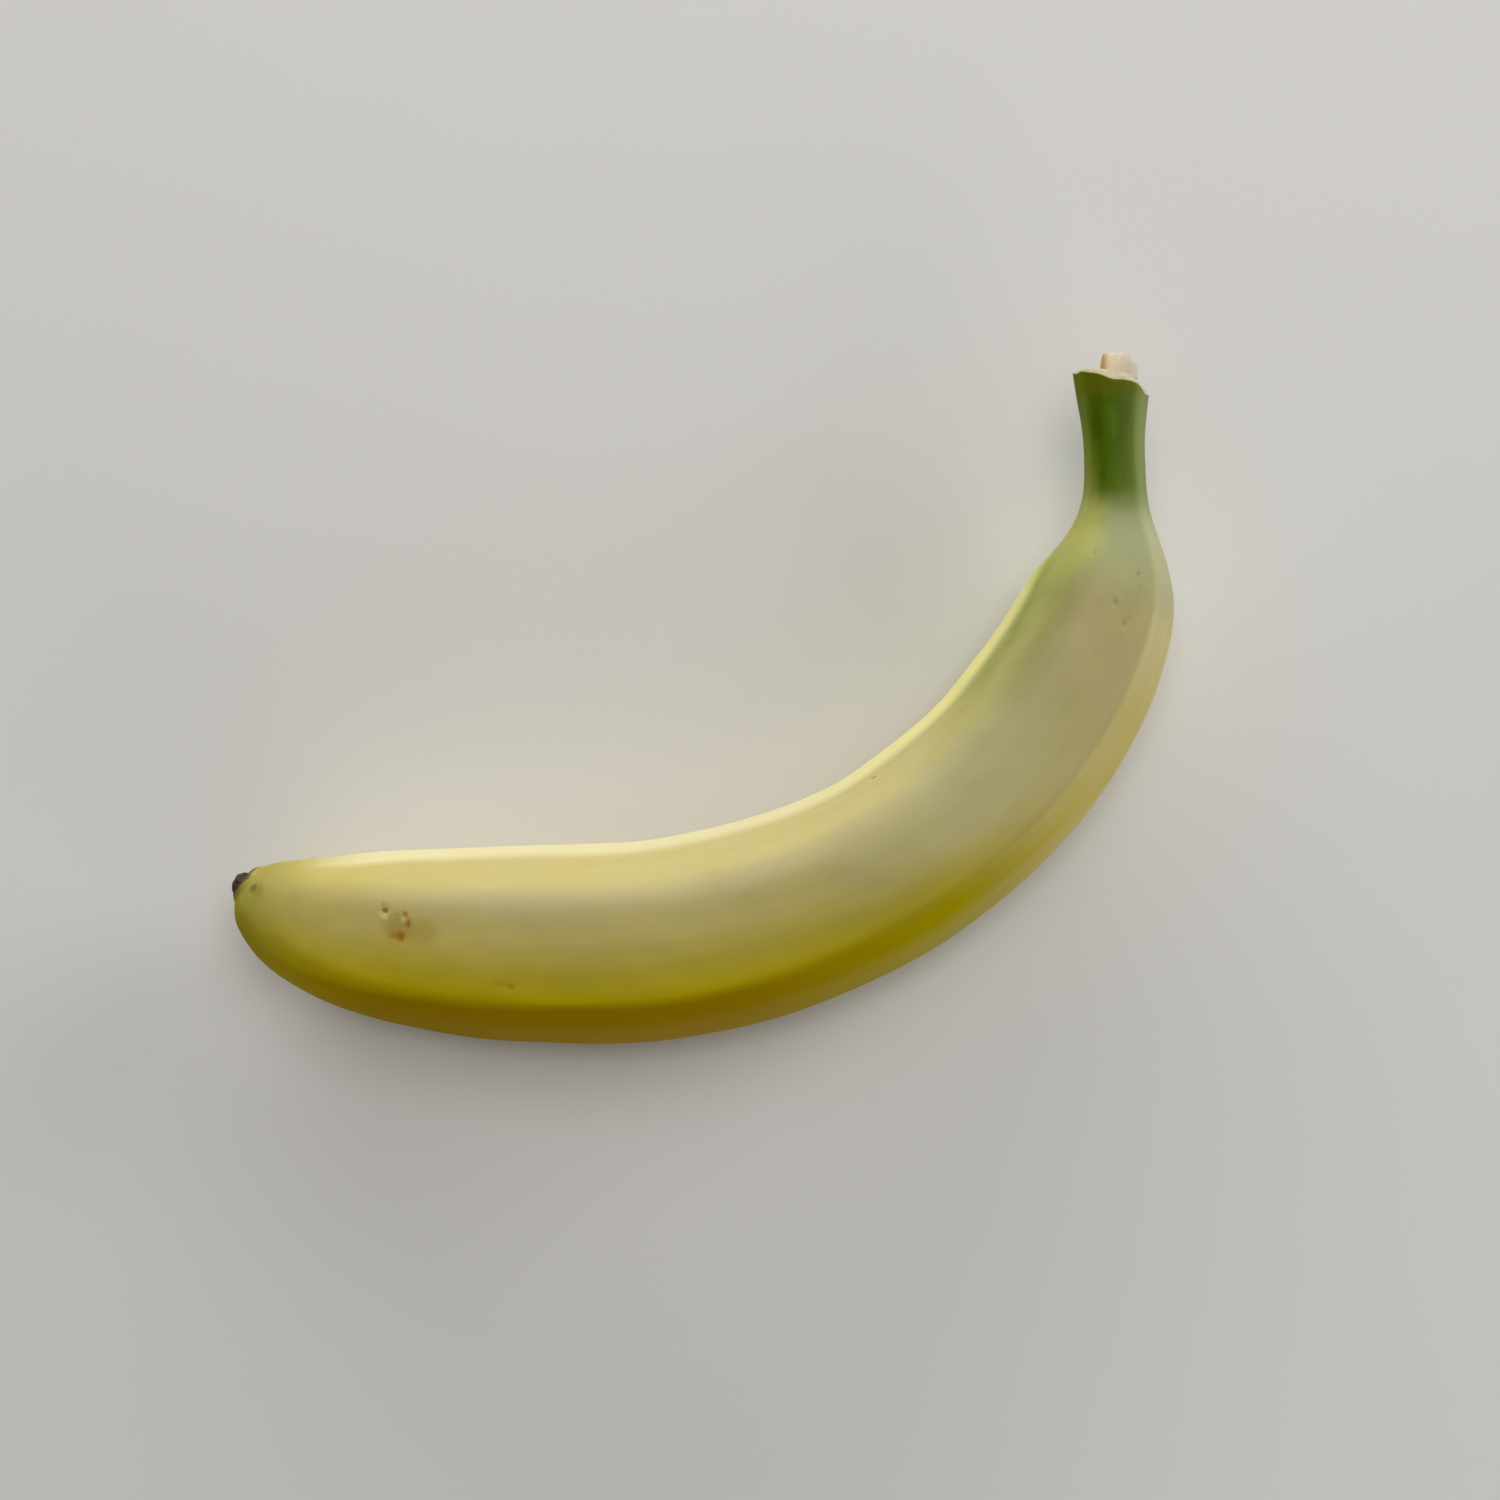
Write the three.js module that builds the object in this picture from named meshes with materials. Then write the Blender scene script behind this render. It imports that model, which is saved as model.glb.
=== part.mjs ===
// A dessert banana picked from its hand, lying on one flank with its curve flat on the table.
//
// It is one grown piece, so it is one closed mesh: a skin swept along the fruit's bent centreline,
// closed at the blossom end by the dried style on its scar, and at the stalk end by the torn crown
// and the stump of pale pith that stands out of it.
//
// Millimetres, +Z up. +X runs from the blossom end towards the stalk, +Y is the hollow side of the
// curve, and the origin is on the table, under the middle of the fruit's bounding box.

import * as THREE from "three";

// ---- Driving dimensions ----------------------------------------------------------------------

const RIM_STATION = 220.6; // length of the centreline, from the blossom scar to the torn crown
const SIDES = 50; // points round the fruit, ten to each of its five faces
const FACES = 5;
const RIDGE = 54; // degrees round the section from the outer side up to the first ridge

// Each list holds [station, value]: the station is the distance along the centreline from the scar.

// Heading of the centreline in degrees, 0 along +X, turning towards the hollow side.
const HEADING = [[-4, -75], [8, -57.5], [20, -42], [40, -34.4], [75, -24], [110, -5.5],
  [147, 17.6], [176, 38.5], [194, 55], [204, 61.2], [214, 61.8], [226, 61]];

// Half the width across the curve, seen from above.
const HALF_WIDTH = [[0, 4.1], [1.2, 5.7], [3.2, 7.4], [7, 9.7], [14, 12.4], [24, 14.8], [36, 16.5],
  [54, 17.75], [80, 18.15], [110, 17.6], [145, 16.9], [166, 15.8], [178, 14.3], [186, 12.2],
  [192, 9.1], [198, 6.4], [205, 5.5], [212, 5.65], [218, 6.35], [224, 7.2]];

// Height of the section as a share of its width: the pulp is a little flattened, the stalk isn't.
const HEIGHT_SHARE = [[0, 1], [20, 0.96], [100, 0.95], [175, 0.96], [200, 1.04], [224, 1.06]];

// How sharp the five ridges are: 2 is a round section, and higher powers come nearer a pentagon.
// The second ridge, between the upper flank and the hollow side, is worn to a power of its own.
const SHARPNESS = [[0, 2.6], [12, 5], [32, 13], [60, 17], [120, 17], [165, 18], [184, 17], [197, 12],
  [206, 9], [224, 8]];
const KEEN_RIDGE = 0.06; // the first ridge, under the upmost face, is keener than the others
const WORN_RIDGE = 5;

// Degrees that the ridges turn round the fruit, inwards seen from above, towards the stalk.
const TWIST = [[0, 3], [100, 3.4], [125, 3.6], [150, 2], [175, 1.4], [188, 1], [200, 4], [224, 5]];

// Height of the underside over the table. Under zero the skin is pressed flat against it.
const UNDERSIDE = [[-4, 12.4], [8, 6.5], [22, 1.2], [36, -1.15], [66, -1.15], [96, -1.15],
  [126, -1.15], [154, -1.15], [172, 0.9], [188, 6.2], [202, 11.8], [226, 13.4]];

// The torn rim of the crown.
const RIM_FALL = 1.85; // how far it falls off to the outer side, from its middle
const RIM_DROP = 0.85; // and how much lower it is torn at its outer corner
const RIM_TEAR = 0.25; // height of the ragged teeth
const TEAR_LENGTH = 14; // the skin's rings lean over to the rim's slope within this length

// The closed ends: [fill, rise, shift]. Fill is the share of the rim ring's size, rise the way out
// along the centreline, shift the way to the outer side.
const BLOSSOM_END = [[0.95, 0.35, 0], [0.85, 0.8, 0], [0.72, 1.15, 0.1], [0.6, 1.35, 0.2],
  [0.57, 2, 0.35], [0.45, 2.6, 0.4], [0.22, 2.85, 0.4]];
const BLOSSOM_TIP = [0, 2.9, 0.4];
const CROWN_END = [[0.95, 0.35, 0], [0.86, 0.8, 0.1], [0.75, 1.15, 0.3], [0.58, 1.25, 0.7],
  [0.49, 1.8, 1], [0.44, 3.2, 1], [0.39, 4.4, 0.95], [0.27, 4.7, 0.9]];
const CROWN_TIP = [0, 4.6, 0.9];
const STUMP_TEAR = 0.35; // height of the broken fibres on the stump's top

const PEEL = new THREE.Color("#d8c653");
const GREEN = new THREE.Color("#5c7426");
const PITH = new THREE.Color("#dccdb0");
const DRIED = new THREE.Color("#3a2a1c");
const GREEN_FROM = 194; // the peel turns green over this stretch of the neck
const GREEN_TO = 201;

// ---- Curves through the lists ----------------------------------------------------------------

// Returns the natural cubic spline through the knots: smooth to its second derivative, and with
// no bend at its ends.
function spline(knots) {
  const last = knots.length - 1;
  const x = knots.map((knot) => knot[0]);
  const y = knots.map((knot) => knot[1]);
  const bend = new Array(last + 1).fill(0); // second derivatives, by elimination and substitution
  const carry = new Array(last + 1).fill(0);
  for (let i = 1; i < last; i++) {
    const before = x[i] - x[i - 1];
    const after = x[i + 1] - x[i];
    const turn = 6 * ((y[i + 1] - y[i]) / after - (y[i] - y[i - 1]) / before);
    const pivot = 2 * (before + after) - before * carry[i - 1];
    carry[i] = after / pivot;
    bend[i] = (turn - before * bend[i - 1]) / pivot;
  }
  for (let i = last - 1; i > 0; i--) bend[i] -= carry[i] * bend[i + 1];
  return (at) => {
    let i = 0;
    while (i < last - 1 && at > x[i + 1]) i++;
    const span = x[i + 1] - x[i];
    const a = (x[i + 1] - at) / span;
    const b = 1 - a;
    return a * y[i] + b * y[i + 1] +
      ((a ** 3 - a) * bend[i] + (b ** 3 - b) * bend[i + 1]) * span ** 2 / 6;
  };
}

const radians = THREE.MathUtils.degToRad;
const heading = spline(HEADING);
const halfWidth = spline(HALF_WIDTH);
const heightShare = spline(HEIGHT_SHARE);
const sharpness = spline(SHARPNESS);
const twist = spline(TWIST);
const underside = spline(UNDERSIDE);

// The centreline seen from above, walked in short steps along its heading.
const STEP = 0.5;
const FIRST_STATION = -4;
const walk = [new THREE.Vector2(0, 0)];
for (let station = FIRST_STATION; station < RIM_STATION + 8; station += STEP) {
  const way = radians(heading(station + STEP / 2));
  const from = walk[walk.length - 1];
  walk.push(new THREE.Vector2(Math.cos(way), Math.sin(way)).multiplyScalar(STEP).add(from));
}

function centreline(station) {
  const steps = (station - FIRST_STATION) / STEP;
  const whole = Math.floor(steps);
  return walk[whole].clone().lerp(walk[whole + 1], steps - whole);
}

// ---- The section -----------------------------------------------------------------------------

// Distance from the middle to the skin at an angle, for five flat faces joined by rounded ridges.
function reach(angle, sharp, turned) {
  const keen = ((1 + Math.cos(angle - radians(RIDGE + turned))) / 2) ** 5;
  const worn = ((1 + Math.cos(angle - radians(RIDGE + turned + 360 / FACES))) / 2) ** 5;
  const power = sharp + keen * KEEN_RIDGE * sharp ** 2 + worn * (Math.min(sharp, WORN_RIDGE) - sharp);
  let sum = 0;
  for (let face = 0; face < FACES; face++) {
    const facing = radians(RIDGE + turned + (360 / FACES) * (face + 0.5));
    sum += Math.max(0, Math.cos(angle - facing)) ** power;
  }
  return sum ** (-1 / power);
}

// The section at a station, scaled to its width and height and centred across the curve. Returns a
// function from an angle (0 is the outer side, 90 degrees the top) to [out, up], up from the
// section's lowest point.
function section(station) {
  const sharp = sharpness(station);
  const turned = twist(station);
  const outline = [];
  for (let degree = 0; degree < 360; degree++) {
    const angle = radians(degree);
    const length = reach(angle, sharp, turned);
    outline.push([length * Math.cos(angle), length * Math.sin(angle)]);
  }
  const across = outline.map((point) => point[0]);
  const upright = outline.map((point) => point[1]);
  const right = Math.max(...across);
  const left = Math.min(...across);
  const lowest = Math.min(...upright);
  const scale = 2 / (right - left);
  const tall = scale * heightShare(station);
  return (angle) => {
    const length = reach(angle, sharp, turned);
    return [
      scale * (length * Math.cos(angle) - (right + left) / 2),
      tall * (length * Math.sin(angle) - lowest),
    ];
  };
}

// ---- The skin --------------------------------------------------------------------------------

// How far the torn rim stands off its station, round the stalk.
function rimOffset(angle) {
  const tear = 0.6 * Math.sin(5 * angle + 2.2) + 0.4 * Math.sin(9 * angle + 2.1);
  const corner = ((1 + Math.cos(angle)) / 2) ** 12;
  return RIM_TEAR * tear - RIM_FALL * Math.cos(angle) - RIM_DROP * corner;
}

// The angles of a ring's points, which follow the ridges as they twist.
function ringAngles(station) {
  return Array.from({ length: SIDES }, (_, i) =>
    radians(RIDGE + twist(station) + (360 / SIDES) * i));
}

// One ring of skin. Near the crown the points of a ring lean towards the rim's slope.
function skinRing(station) {
  const shape = section(station);
  const lean = THREE.MathUtils.smootherstep(station, RIM_STATION - TEAR_LENGTH, RIM_STATION);
  return ringAngles(station).map((angle) => {
    const at = station + lean * rimOffset(angle);
    const [out, up] = shape(angle);
    const way = radians(heading(at));
    const middle = centreline(at);
    const side = halfWidth(at) * out;
    return new THREE.Vector3(
      middle.x + side * Math.sin(way),
      middle.y - side * Math.cos(way),
      Math.max(0, underside(at) + halfWidth(at) * up),
    );
  });
}

// Shrinks a rim ring to a share of its size and moves it out along the centreline and sideways.
function capRing(rim, way, outward, [fill, rise, shift], tear = 0) {
  const middle = rim.reduce((sum, point) => sum.add(point), new THREE.Vector3());
  middle.divideScalar(rim.length);
  return rim.map((point, i) => {
    const torn = tear * Math.sin(2.4 * i) * Math.sin(0.9 * i + 1);
    return point.clone().sub(middle).multiplyScalar(fill).add(middle)
      .addScaledVector(way, rise + torn)
      .addScaledVector(outward, shift);
  });
}

function wayAt(station) {
  const angle = radians(heading(station));
  return new THREE.Vector3(Math.cos(angle), Math.sin(angle), 0);
}

function outwardAt(station) {
  const angle = radians(heading(station));
  return new THREE.Vector3(Math.sin(angle), -Math.cos(angle), 0);
}

// Stations of the skin's rings: close together on the blossom end, the neck and the crown.
const stations = [];
for (let station = 0; station < RIM_STATION - 0.5;) {
  stations.push(station);
  const fromEnd = Math.min(station, Math.abs(station - 194), RIM_STATION - station);
  station += THREE.MathUtils.clamp(0.6 + 0.16 * fromEnd, 0.6, 3.3);
}
stations.push(RIM_STATION);

const skin = stations.map(skinRing);
const scar = skin[0];
const rim = skin[skin.length - 1];
const tipWay = wayAt(0).negate();
const tipOutward = outwardAt(0);
const rimWay = wayAt(RIM_STATION);
const rimOutward = outwardAt(RIM_STATION);

const rings = [
  ...BLOSSOM_END.map((place) => capRing(scar, tipWay, tipOutward, place)).reverse(),
  ...skin,
  ...CROWN_END.map((place) =>
    capRing(rim, rimWay, rimOutward, place, place[0] < 0.5 ? STUMP_TEAR : 0)),
];
const tipPoint = capRing(scar, tipWay, tipOutward, BLOSSOM_TIP)[0];
const crownPoint = capRing(rim, rimWay, rimOutward, CROWN_TIP)[0];

// ---- The mesh --------------------------------------------------------------------------------

const points = [tipPoint, ...rings.flat(), crownPoint];
const faces = [];
const pointOf = (ring, side) => 1 + ring * SIDES + (side % SIDES);
const lastRing = rings.length - 1;
for (let side = 0; side < SIDES; side++) {
  faces.push(0, pointOf(0, side), pointOf(0, side + 1));
  for (let ring = 0; ring < lastRing; ring++) {
    const near = pointOf(ring, side);
    const nearNext = pointOf(ring, side + 1);
    const far = pointOf(ring + 1, side);
    const farNext = pointOf(ring + 1, side + 1);
    faces.push(near, far, nearNext, far, farNext, nearNext);
  }
  faces.push(points.length - 1, pointOf(lastRing, side + 1), pointOf(lastRing, side));
}

const geometry = new THREE.BufferGeometry().setFromPoints(points);
geometry.setIndex(faces);

// Yellow peel, green stalk, pale pith and the dark dried style, ring by ring.
function ringColour(ring) {
  const skinIndex = ring - BLOSSOM_END.length;
  if (skinIndex < 0) return DRIED;
  if (skinIndex >= stations.length) return PITH;
  const green = THREE.MathUtils.smoothstep(stations[skinIndex], GREEN_FROM, GREEN_TO);
  return PEEL.clone().lerp(GREEN, green);
}
const colours = [DRIED, ...rings.flatMap((_, ring) => new Array(SIDES).fill(ringColour(ring))), PITH];
geometry.setAttribute("color",
  new THREE.Float32BufferAttribute(colours.flatMap((colour) => colour.toArray()), 3));

geometry.computeBoundingBox();
const box = geometry.boundingBox;
geometry.translate(-(box.min.x + box.max.x) / 2, -(box.min.y + box.max.y) / 2, -box.min.z);
geometry.computeVertexNormals();

const peel = new THREE.MeshStandardMaterial({ vertexColors: true, roughness: 0.55, metalness: 0 });
const banana = new THREE.Mesh(geometry, peel);
banana.name = "banana";

const group = new THREE.Group();
group.add(banana);

export default group;
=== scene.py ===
"""A dessert banana lying on its flank on a pale table, seen from straight above.

The peel, the torn stump of pith at the stalk and the dried style at the blossom end are worked out in
millimetres, in the frame of the fruit's solid, and put into the meshes in metres.
"""

import bpy
import numpy as np
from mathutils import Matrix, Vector


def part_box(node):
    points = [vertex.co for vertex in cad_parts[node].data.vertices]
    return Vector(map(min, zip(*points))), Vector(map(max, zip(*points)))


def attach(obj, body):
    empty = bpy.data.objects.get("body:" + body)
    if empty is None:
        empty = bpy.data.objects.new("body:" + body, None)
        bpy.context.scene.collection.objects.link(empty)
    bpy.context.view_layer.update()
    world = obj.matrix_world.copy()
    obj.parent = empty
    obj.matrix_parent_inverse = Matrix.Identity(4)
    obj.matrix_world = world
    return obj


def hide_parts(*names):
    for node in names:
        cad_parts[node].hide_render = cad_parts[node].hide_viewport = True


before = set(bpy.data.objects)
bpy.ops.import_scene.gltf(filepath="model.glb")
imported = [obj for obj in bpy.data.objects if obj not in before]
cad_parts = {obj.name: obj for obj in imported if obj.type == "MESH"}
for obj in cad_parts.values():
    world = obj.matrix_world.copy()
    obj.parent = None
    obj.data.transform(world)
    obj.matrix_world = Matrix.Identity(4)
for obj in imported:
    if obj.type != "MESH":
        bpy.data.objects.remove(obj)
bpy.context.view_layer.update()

# ---- Peel --------------------------------------------------------------------------------------
# The whole outside of the fruit is one grown skin over the pulp: waxy, five-ridged, yellow, and green
# on the stalk. It ends in a torn rim where the fruit was pulled from its hand, and in the blossom scar.

MM = 0.001
RIM_STATION = 220.6  # length of the centreline from the blossom scar to the torn rim
FACES = 5
RIDGE = 54  # degrees round the section from the outer side up to the first ridge

# Each list holds (station, value): the station is the distance along the centreline from the scar.
# HEADING is the centreline's direction seen from above, and TWIST turns the ridges, both in degrees.
# HEIGHT_SHARE is the height of the section against its own outline's, and SHARPNESS the power in reach().
# UNDERSIDE is the height of the lowest line over the table: below 0 the skin is pressed flat.
HEADING = [(-4, -75), (8, -57.5), (20, -42), (40, -34.4), (75, -24), (110, -5.5),
           (147, 17.6), (176, 38.5), (194, 55), (204, 61.2), (214, 61.8), (226, 61)]
HALF_WIDTH = [(0, 4.1), (1.2, 5.7), (3.2, 7.4), (7, 9.7), (14, 12.4), (24, 14.8), (36, 16.5),
              (54, 17.75), (80, 18.15), (110, 17.6), (145, 16.9), (166, 15.8), (178, 14.3), (186, 12.2),
              (192, 9.1), (198, 6.4), (205, 5.5), (212, 5.65), (218, 6.35), (224, 7.2)]
HEIGHT_SHARE = [(0, 1), (20, 0.96), (100, 0.95), (175, 0.96), (200, 1.04), (224, 1.06)]
SHARPNESS = [(0, 2.6), (12, 5), (32, 13), (60, 17), (120, 17), (165, 18), (184, 17), (197, 12),
             (206, 9), (224, 8)]
KEEN_RIDGE = 0.06  # the first ridge is keener than the others, by this much of their power squared
WORN_RIDGE = 5  # the power of the ridge between the upper flank and the hollow side, which is rounder
TWIST = [(0, 3), (100, 3.4), (125, 3.6), (150, 2), (175, 1.4), (188, 1), (200, 4), (224, 5)]
UNDERSIDE = [(-4, 12.4), (8, 6.5), (22, 1.2), (36, -1.15), (66, -1.15), (96, -1.15),
             (126, -1.15), (154, -1.15), (172, 0.9), (188, 6.2), (202, 11.8), (226, 13.4)]

RIM_FALL = 1.85  # the torn rim falls off to the outer side
RIM_DROP = 0.85  # and is torn lower at its outer corner
RIM_TEAR = 0.25  # height of its teeth
LEAN_LENGTH = 14  # the rings of the stalk lean to the slope of the rim over this length


def spline(knots):
    """Natural cubic spline through the knots, for whole arrays: between two knots the value is the
    straight line plus a cubic bow set by the second derivatives, which are solved for all at once."""
    x, y = np.array(knots, float).T
    span = np.diff(x)
    system = np.eye(len(x))
    turn = np.zeros(len(x))
    for i in range(1, len(x) - 1):
        system[i, i - 1:i + 2] = span[i - 1], 2 * (span[i - 1] + span[i]), span[i]
        turn[i] = 6 * ((y[i + 1] - y[i]) / span[i] - (y[i] - y[i - 1]) / span[i - 1])
    bend = np.linalg.solve(system, turn)

    def value(at):
        i = np.clip(np.searchsorted(x, at) - 1, 0, len(x) - 2)
        a = (x[i + 1] - at) / span[i]
        b = 1 - a
        bow = ((a ** 3 - a) * bend[i] + (b ** 3 - b) * bend[i + 1]) * span[i] ** 2 / 6
        return a * y[i] + b * y[i + 1] + bow

    return value


heading, half_width, height_share = spline(HEADING), spline(HALF_WIDTH), spline(HEIGHT_SHARE)
sharpness, twist, underside = spline(SHARPNESS), spline(TWIST), spline(UNDERSIDE)

# The centreline seen from above, walked in half-millimetre steps along its heading.
WALK_STEP = 0.5
walk_at = np.arange(-4, RIM_STATION + 8, WALK_STEP)
walk_way = np.radians(heading(walk_at[:-1] + WALK_STEP / 2))
walk_x = np.concatenate([[0], np.cumsum(np.cos(walk_way))]) * WALK_STEP
walk_y = np.concatenate([[0], np.cumsum(np.sin(walk_way))]) * WALK_STEP


def smoothstep(low, high, value):
    """0 below low, 1 above high, and the cubic 3t^2 - 2t^3 between."""
    t = np.clip((value - low) / (high - low), 0, 1)
    return t * t * (3 - 2 * t)


def smootherstep(low, high, value):
    """0 below low, 1 above high, and the quintic 6t^5 - 15t^4 + 10t^3 between."""
    t = np.clip((value - low) / (high - low), 0, 1)
    return t ** 3 * (t * (6 * t - 15) + 10)


def reach(angle, station):
    """Distance from the middle to the skin: the power mean of the cosines to the five faces, so that
    each face is flat and the ridges between them are rounded, the less so the higher the power."""
    first = RIDGE + twist(station)
    sharp = sharpness(station)
    keen = ((1 + np.cos(angle - np.radians(first))) / 2) ** 5
    worn = ((1 + np.cos(angle - np.radians(first + 360 / FACES))) / 2) ** 5
    power = sharp + keen * KEEN_RIDGE * sharp ** 2 + worn * (np.minimum(sharp, WORN_RIDGE) - sharp)
    facing = np.radians(first[..., None] + 360 / FACES * (np.arange(FACES) + 0.5))
    lobes = np.maximum(0, np.cos(angle[..., None] - facing)) ** power[..., None]
    return lobes.sum(-1) ** (-1 / power)


def section(station, angle):
    """Place on the section as shares of the half width: out from its middle, up from its lowest point.
    The five-faced outline is scaled so that it just fills its width."""
    turn = np.radians(np.arange(360))[None]
    outline = reach(turn, station)
    across, upright = outline * np.cos(turn), outline * np.sin(turn)
    right, left = across.max(1, keepdims=True), across.min(1, keepdims=True)
    lowest = upright.min(1, keepdims=True)
    scale = 2 / (right - left)
    length = reach(angle, station)
    out = scale * (length * np.cos(angle) - (right + left) / 2)
    up = scale * height_share(station) * (length * np.sin(angle) - lowest)
    return out, up


def rim_offset(angle):
    """How far the torn rim stands off its station: two waves of teeth, a slope outwards that follows
    the cosine, and a drop at the outer corner that follows the 24th power of the half angle's cosine."""
    tear = 0.6 * np.sin(5 * angle + 2.2) + 0.4 * np.sin(9 * angle + 2.1)
    corner = ((1 + np.cos(angle)) / 2) ** 12
    return RIM_TEAR * tear - RIM_FALL * np.cos(angle) - RIM_DROP * corner


def skin(station, angle):
    """Points of the skin at stations (a column) and angles round them, and the same points with the
    centreline pulled straight. Near the crown a ring leans to the slope of the torn rim."""
    at = station + smootherstep(RIM_STATION - LEAN_LENGTH, RIM_STATION, station) * rim_offset(angle)
    out, up = section(station, angle)
    way = np.radians(heading(at))
    side, height = half_width(at) * out, half_width(at) * up
    bent = np.stack([
        np.interp(at, walk_at, walk_x) + side * np.sin(way),
        np.interp(at, walk_at, walk_y) - side * np.cos(way),
        np.maximum(0, underside(at) + height),
    ], -1)
    return bent, np.stack([at, side, height], -1)


def spaced(start, stop, gaps):
    """Stations from start to stop whose gap at each place follows the (station, gap) pairs."""
    fine = np.linspace(start, stop, 4000)
    count = np.concatenate([[0], np.cumsum(np.diff(fine) / np.interp(fine[1:], *zip(*gaps)))])
    return np.interp(np.linspace(0, count[-1], int(count[-1]) + 1), count, fine)


# Rings lie closer on the ends and on the bruise, in millimetres, and columns on the first ridge and on
# the face that lies upmost, in degrees past that ridge.
RING_GAPS = [(0, 0.2), (10, 0.45), (22, 0.32), (34, 0.32), (46, 0.72), (170, 0.72), (192, 0.52),
             (208, 0.32), (RIM_STATION, 0.2)]
COLUMN_GAPS = [(0, 0.6), (10, 1.2), (60, 1.4), (85, 1.4), (115, 2.5), (325, 2.5), (348, 1.2), (360, 0.6)]
ring_station = spaced(0, RIM_STATION, RING_GAPS)[:, None]
columns = spaced(0, 360, COLUMN_GAPS)[:-1]
ring_angle = np.radians(RIDGE + twist(ring_station) + columns)
skin_rings, straight_rings = skin(ring_station, ring_angle)

# The solid's box and the skin without its caps have the same low corner, which puts one over the other.
solid_low = np.array(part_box("banana")[0]) / MM
to_frame = np.array([*(solid_low - skin_rings.reshape(-1, 3).min(0))[:2], 0])


def direction(station, turned):
    """Unit vector in the table's plane: the centreline's way at a station, turned by so many degrees. At
    0 it points to the stalk, at 180 to the scar and at -90 out to the outer side."""
    way = np.radians(heading(np.array(float(station))) + turned)
    return np.array([np.cos(way), np.sin(way), 0])


# Profiles of the two ends, from the skin's edge to the middle: (share of the ring's size, rise along the
# centreline in mm, shift to the outer side in mm).
CROWN = [(1, 0, 0), (0.99, 0.1, 0), (0.965, 0.1, 0), (0.945, 0.02, 0), (0.92, 0.3, 0), (0.88, 0.7, 0.05),
         (0.82, 0.95, 0.15), (0.74, 1.12, 0.3), (0.6, 1.2, 0.8), (0, 1.2, 1.3)]
SCAR = [(1, 0, 0), (0.95, 0.35, 0), (0.85, 0.8, 0), (0.72, 1.15, 0.1), (0.62, 1.3, 0.2), (0, 1.2, 0.4)]
RIM_REACH = 6.5  # mean distance from the rim's middle to its edge
CAP_GAP = 0.16
TORN_FILL = 0.955  # the green skin ends at this share of the rim, just inside its thin torn edge


def cap(ring, straight, way, outward, profile, sense):
    """Rings that close an end: copies of its last ring drawn in to a share of its size, moved out along
    the centreline and sideways. They follow the profile in steps of about CAP_GAP. The sense is 1 where
    stations grow outwards and -1 where they shrink."""
    rows = np.array(profile, float)
    length = np.concatenate([[0], np.cumsum(np.linalg.norm(
        np.diff(rows * [RIM_REACH, 1, 1], axis=0), axis=1))])
    steps = np.linspace(0, length[-1], int(length[-1] / CAP_GAP))[1:]
    fill, rise, shift = (np.interp(steps, length, rows[:, i])[:, None, None] for i in range(3))
    middle, straight_middle = ring.mean(0), straight.mean(0)
    side = np.array([0, 1, 0])
    bent = middle + fill * (ring - middle) + rise * way + shift * outward
    laid = straight_middle + fill * (straight - straight_middle) + rise * [sense, 0, 0] + shift * side
    return bent, laid, np.broadcast_to(fill, bent.shape[:2] + (1,))[..., 0]


crown_rings, crown_straight, crown_fill = cap(
    skin_rings[-1], straight_rings[-1], direction(RIM_STATION, 0), direction(RIM_STATION, -90), CROWN, 1)
scar_rings, scar_straight, _ = cap(
    skin_rings[0], straight_rings[0], direction(0, 180), direction(0, -90), SCAR, -1)
rings = np.concatenate([scar_rings[::-1], skin_rings, crown_rings]) + to_frame
straight = np.concatenate([scar_straight[::-1], straight_rings, crown_straight])
angle = np.concatenate([np.repeat(ring_angle[:1], len(scar_rings), 0), ring_angle,
                        np.repeat(ring_angle[-1:], len(crown_rings), 0)])
torn = np.zeros(angle.shape)
torn[len(scar_rings) + len(skin_rings):] = smoothstep(TORN_FILL + 0.01, TORN_FILL - 0.01, crown_fill)
station = straight[..., 0]
around = (np.degrees(angle) - RIDGE - twist(np.clip(station, 0, RIM_STATION))) % 360


def waves(points, length, seed):
    """Smooth unevenness from about -1 to 1: the sum of 14 plane waves about `length` mm long, in random
    directions, over the points of the straightened fruit."""
    random = np.random.default_rng(seed)
    ways = random.normal(size=(14, 3))
    ways *= 2 * np.pi / (length * random.uniform(0.7, 1.4, (14, 1)) * np.linalg.norm(ways, axis=1)[:, None])
    return np.sin(points @ ways.T + random.uniform(0, 2 * np.pi, 14)).sum(-1) / 4


def outward_normals(grid):
    """Unit normals of a grid of rings that run right-handed about the way back along them."""
    along = np.gradient(grid, axis=0)
    across = (np.roll(grid, -1, 1) - np.roll(grid, 1, 1)) / 2
    normal = np.cross(along, across)
    return normal / np.maximum(np.linalg.norm(normal, axis=-1, keepdims=True), 1e-9)


def on_skin(at, past):
    """The place, on the straightened fruit, of one point of the skin: its station, and its angle in
    degrees past the first ridge."""
    at = np.array([[at]], float)
    return skin(at, np.radians(RIDGE + twist(at) + past))[1][0, 0]


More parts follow.
